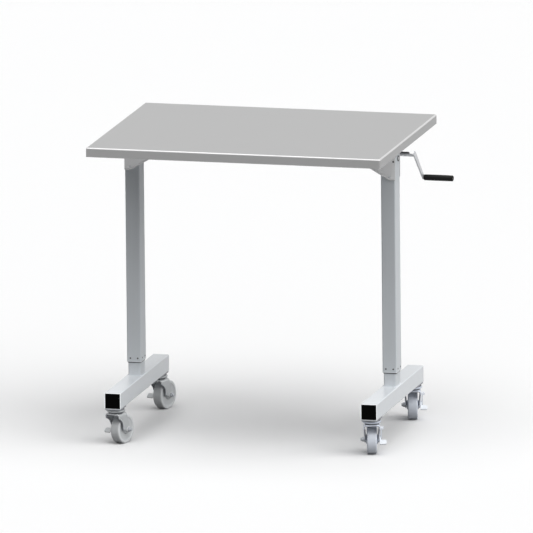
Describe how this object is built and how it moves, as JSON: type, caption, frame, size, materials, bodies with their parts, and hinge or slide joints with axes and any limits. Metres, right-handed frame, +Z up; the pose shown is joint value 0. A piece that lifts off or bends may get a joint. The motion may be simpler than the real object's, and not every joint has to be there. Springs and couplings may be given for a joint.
{
  "type": "instrument table",
  "caption": "Instrument table with a folded sheet-metal top on two telescoping legs, raised by a side crank, on base beams with braked swivel casters.",
  "frame": {"origin": "on the floor, under the middle of the whole object's box at the lowest setting", "axes": "+Z up, +X along the table's length towards the crank, +Y to the back"},
  "size_m": [1.0155, 0.7112, 0.9344],
  "materials": {
    "sheet_steel": "satin stainless sheet",
    "zinc_sheet": "galvanised sheet",
    "fastener_steel": "dark plated screws",
    "column_paint": "satin grey powder coat",
    "base_paint": "light grey powder coat",
    "cast_block": "grey cast block",
    "bush_plastic": "black moulded bush",
    "machined_steel": "machined steel",
    "crank_steel": "dark machined steel",
    "zinc_bright": "bright zinc plate",
    "grip_plastic": "glossy black plastic",
    "bronze": "machined bronze",
    "cap_plastic": "black moulded cap",
    "fork_steel": "zinc plated pressed fork",
    "wheel_rubber": "blue-grey non-marking tread"
  },
  "bodies": {
    "left_base": {"left_base_beam": "base_paint", "left_lower_column": "column_paint", "left_screw_nut": "bronze", "left_beam_caps": "cap_plastic", "left_caster_plates": "base_paint", "left_king_pins": "zinc_bright"},
    "top": {"table_top": "sheet_steel", "top_stiffeners": "zinc_sheet", "tie_channel": "zinc_sheet", "left_bracket": "sheet_steel", "right_bracket": "sheet_steel", "bracket_screws": "fastener_steel", "left_upper_column": "column_paint", "right_upper_column": "column_paint", "left_glide_bush": "column_paint", "right_glide_bush": "column_paint", "glide_screws": "fastener_steel", "left_head_block": "cast_block", "right_head_block": "cast_block", "shaft_bushes": "bush_plastic", "gear_frame": "zinc_sheet", "frame_screws": "fastener_steel", "crank_bearing": "cast_block", "shaft_hanger": "zinc_sheet"},
    "right_base": {"right_base_beam": "base_paint", "right_lower_column": "column_paint", "right_screw_nut": "bronze", "right_beam_caps": "cap_plastic", "right_caster_plates": "base_paint", "right_king_pins": "zinc_bright"},
    "crank": {"crank_shaft": "crank_steel", "crank_gear": "machined_steel", "crank_arm": "zinc_bright", "crank_rivets": "zinc_bright", "grip_pin": "zinc_bright"},
    "grip": {"crank_grip": "grip_plastic"},
    "cross_drive": {"cross_shaft": "machined_steel", "cross_shaft_gear": "machined_steel", "shaft_mitre_gears": "machined_steel"},
    "left_screw": {"left_lead_screw": "machined_steel", "left_mitre_gear": "machined_steel"},
    "right_screw": {"right_lead_screw": "machined_steel", "right_mitre_gear": "machined_steel"},
    "front_left_caster": {"front_left_fork": "fork_steel", "front_left_axle": "zinc_bright"},
    "front_left_roller": {"front_left_wheel": "wheel_rubber"},
    "front_left_brake": {"front_left_pedal": "base_paint"},
    "rear_left_caster": {"rear_left_fork": "fork_steel", "rear_left_axle": "zinc_bright"},
    "rear_left_roller": {"rear_left_wheel": "wheel_rubber"},
    "rear_left_brake": {"rear_left_pedal": "base_paint"},
    "front_right_caster": {"front_right_fork": "fork_steel", "front_right_axle": "zinc_bright"},
    "front_right_roller": {"front_right_wheel": "wheel_rubber"},
    "front_right_brake": {"front_right_pedal": "base_paint"},
    "rear_right_caster": {"rear_right_fork": "fork_steel", "rear_right_axle": "zinc_bright"},
    "rear_right_roller": {"rear_right_wheel": "wheel_rubber"},
    "rear_right_brake": {"rear_right_pedal": "base_paint"}
  },
  "joints": [
    {"name": "left_lift", "type": "slide", "parent": "left_base", "child": "top", "axis": [0, 0, 1], "range_m": [0, 0.3]},
    {"name": "right_lift", "type": "slide", "parent": "top", "child": "right_base", "axis": [0, 0, -1], "range_m": [0, 0.3]},
    {"name": "crank_turn", "type": "hinge", "parent": "top", "child": "crank", "pos_m": [0.41235, 0.0453, 0.87175], "axis": [1, 0, 0], "range_deg": [0, 18000]},
    {"name": "grip_spin", "type": "hinge", "parent": "crank", "child": "grip", "pos_m": [0.41675, 0.14898, 0.78067], "axis": [1, 0, 0], "continuous": true},
    {"name": "cross_shaft_turn", "type": "hinge", "parent": "top", "child": "cross_drive", "pos_m": [-0.05055, 0.01, 0.8647], "axis": [1, 0, 0], "range_deg": [-10800, 0]},
    {"name": "left_screw_turn", "type": "hinge", "parent": "top", "child": "left_screw", "pos_m": [-0.44985, 0.01, 0.8], "axis": [0, 0, 1], "range_deg": [0, 10800]},
    {"name": "right_screw_turn", "type": "hinge", "parent": "top", "child": "right_screw", "pos_m": [0.34875, 0.01, 0.8], "axis": [0, 0, 1], "range_deg": [0, 10800]},
    {"name": "front_left_swivel", "type": "hinge", "parent": "left_base", "child": "front_left_caster", "pos_m": [-0.44985, -0.2556, 0.1], "axis": [0, 0, 1], "continuous": true},
    {"name": "front_left_roll", "type": "hinge", "parent": "front_left_caster", "child": "front_left_roller", "pos_m": [-0.43873, -0.22136, 0.04445], "axis": [0.9511, -0.309, 0], "continuous": true},
    {"name": "front_left_brake_tip", "type": "hinge", "parent": "front_left_caster", "child": "front_left_brake", "pos_m": [-0.43873, -0.22136, 0.04445], "axis": [0.9511, -0.309, 0], "range_deg": [0, 20]},
    {"name": "rear_left_swivel", "type": "hinge", "parent": "left_base", "child": "rear_left_caster", "pos_m": [-0.44985, 0.2556, 0.1], "axis": [0, 0, 1], "continuous": true},
    {"name": "rear_left_roll", "type": "hinge", "parent": "rear_left_caster", "child": "rear_left_roller", "pos_m": [-0.43873, 0.28984, 0.04445], "axis": [0.9511, -0.309, 0], "continuous": true},
    {"name": "rear_left_brake_tip", "type": "hinge", "parent": "rear_left_caster", "child": "rear_left_brake", "pos_m": [-0.43873, 0.28984, 0.04445], "axis": [0.9511, -0.309, 0], "range_deg": [0, 20]},
    {"name": "front_right_swivel", "type": "hinge", "parent": "right_base", "child": "front_right_caster", "pos_m": [0.34875, -0.2556, 0.1], "axis": [0, 0, 1], "continuous": true},
    {"name": "front_right_roll", "type": "hinge", "parent": "front_right_caster", "child": "front_right_roller", "pos_m": [0.3398, -0.22073, 0.04445], "axis": [0.9686, 0.2487, 0], "continuous": true},
    {"name": "front_right_brake_tip", "type": "hinge", "parent": "front_right_caster", "child": "front_right_brake", "pos_m": [0.3398, -0.22073, 0.04445], "axis": [0.9686, 0.2487, 0], "range_deg": [0, 20]},
    {"name": "rear_right_swivel", "type": "hinge", "parent": "right_base", "child": "rear_right_caster", "pos_m": [0.34875, 0.2556, 0.1], "axis": [0, 0, 1], "continuous": true},
    {"name": "rear_right_roll", "type": "hinge", "parent": "rear_right_caster", "child": "rear_right_roller", "pos_m": [0.3398, 0.29047, 0.04445], "axis": [0.9686, 0.2487, 0], "continuous": true},
    {"name": "rear_right_brake_tip", "type": "hinge", "parent": "rear_right_caster", "child": "rear_right_brake", "pos_m": [0.3398, 0.29047, 0.04445], "axis": [0.9686, 0.2487, 0], "range_deg": [0, 20]}
  ],
  "couplings": [
    {"joint": "right_lift", "follows": "left_lift", "ratio": 1},
    {"joint": "crank_turn", "follows": "left_lift", "rad_per_m": 1047.2},
    {"joint": "cross_shaft_turn", "follows": "left_lift", "rad_per_m": -628.32},
    {"joint": "left_screw_turn", "follows": "left_lift", "rad_per_m": 628.32},
    {"joint": "right_screw_turn", "follows": "left_lift", "rad_per_m": 628.32}
  ]
}
